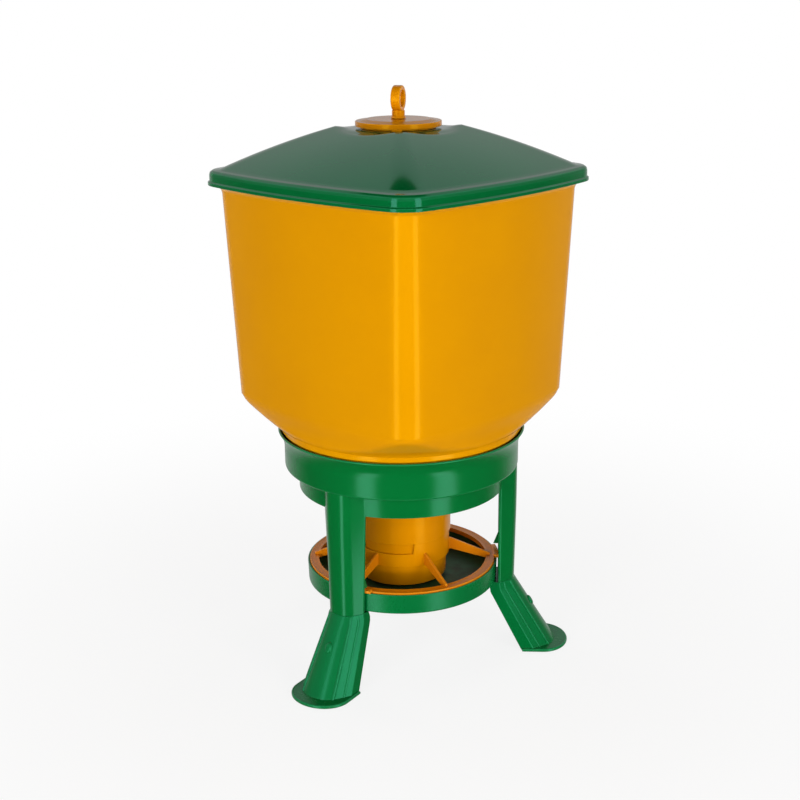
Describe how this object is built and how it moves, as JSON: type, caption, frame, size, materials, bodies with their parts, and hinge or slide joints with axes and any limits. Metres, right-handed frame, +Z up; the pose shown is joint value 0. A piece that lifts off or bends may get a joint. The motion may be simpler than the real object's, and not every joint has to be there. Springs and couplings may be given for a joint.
{
  "type": "automatic poultry feeder",
  "caption": "Amber square hopper with a green hipped lid and hanging eye, standing in a green ring on splayed legs over a spoked feed grid and a round tray.",
  "frame": {"origin": "on the vertical axis of the feeder, at the floor under its feet", "axes": "+Z up through the hanging eye, X and Y through the corners of the square hopper and lid, -Y towards the corner that faces the picture's camera"},
  "size_m": [0.4458, 0.4458, 0.6998],
  "materials": {
    "stand_green": "semi gloss moulded plastic",
    "foot_right_green": "semi gloss moulded plastic",
    "foot_back_green": "semi gloss moulded plastic",
    "foot_front_green": "semi gloss moulded plastic",
    "hopper_amber": "glossy blow moulded plastic",
    "tube_amber": "semi gloss moulded plastic",
    "grid_amber": "semi gloss moulded plastic",
    "collar_amber": "semi gloss moulded plastic",
    "grid_spoke_1_amber": "semi gloss moulded plastic",
    "grid_spoke_2_amber": "semi gloss moulded plastic",
    "grid_spoke_3_amber": "semi gloss moulded plastic",
    "grid_spoke_4_amber": "semi gloss moulded plastic",
    "grid_spoke_5_amber": "semi gloss moulded plastic",
    "grid_spoke_6_amber": "semi gloss moulded plastic",
    "tray_green": "semi gloss moulded plastic",
    "lid_green": "glossy moulded plastic",
    "cap_amber": "semi gloss moulded plastic",
    "lock_ring_green": "satin moulded plastic",
    "eye_amber": "semi gloss moulded plastic",
    "washer_steel": "plain zinc plated",
    "nut_steel": "plain zinc plated"
  },
  "bodies": {
    "stand": {"leg_ring": "stand_green", "foot_right": "foot_right_green", "foot_back": "foot_back_green", "foot_front": "foot_front_green"},
    "tray_unit": {"feed_grid": "grid_amber", "grid_collar": "collar_amber", "grid_spoke_1": "grid_spoke_1_amber", "grid_spoke_2": "grid_spoke_2_amber", "grid_spoke_3": "grid_spoke_3_amber", "grid_spoke_4": "grid_spoke_4_amber", "grid_spoke_5": "grid_spoke_5_amber", "grid_spoke_6": "grid_spoke_6_amber", "tray": "tray_green"},
    "hopper_unit": {"hopper": "hopper_amber", "outlet_tube": "tube_amber"},
    "lid_unit": {"lid": "lid_green", "lid_cap": "cap_amber", "cap_lock_ring": "lock_ring_green"},
    "hook_unit": {"hanging_eye": "eye_amber", "eye_washer": "washer_steel", "eye_nut": "nut_steel"}
  },
  "joints": [
    {"name": "tray_turn", "type": "hinge", "parent": "stand", "child": "tray_unit", "pos_m": [0, 0, 0.0895], "axis": [0, 0, -1], "range_deg": [0, 50]},
    {"name": "hopper_lift", "type": "slide", "parent": "stand", "child": "hopper_unit", "axis": [0, 0, 1], "range_m": [0, 0.22]},
    {"name": "lid_lift", "type": "slide", "parent": "hopper_unit", "child": "lid_unit", "axis": [0, 0, 1], "range_m": [0, 0.15]},
    {"name": "eye_swivel", "type": "hinge", "parent": "lid_unit", "child": "hook_unit", "pos_m": [0, 0, 0.662], "axis": [0, 0, 1], "continuous": true}
  ]
}
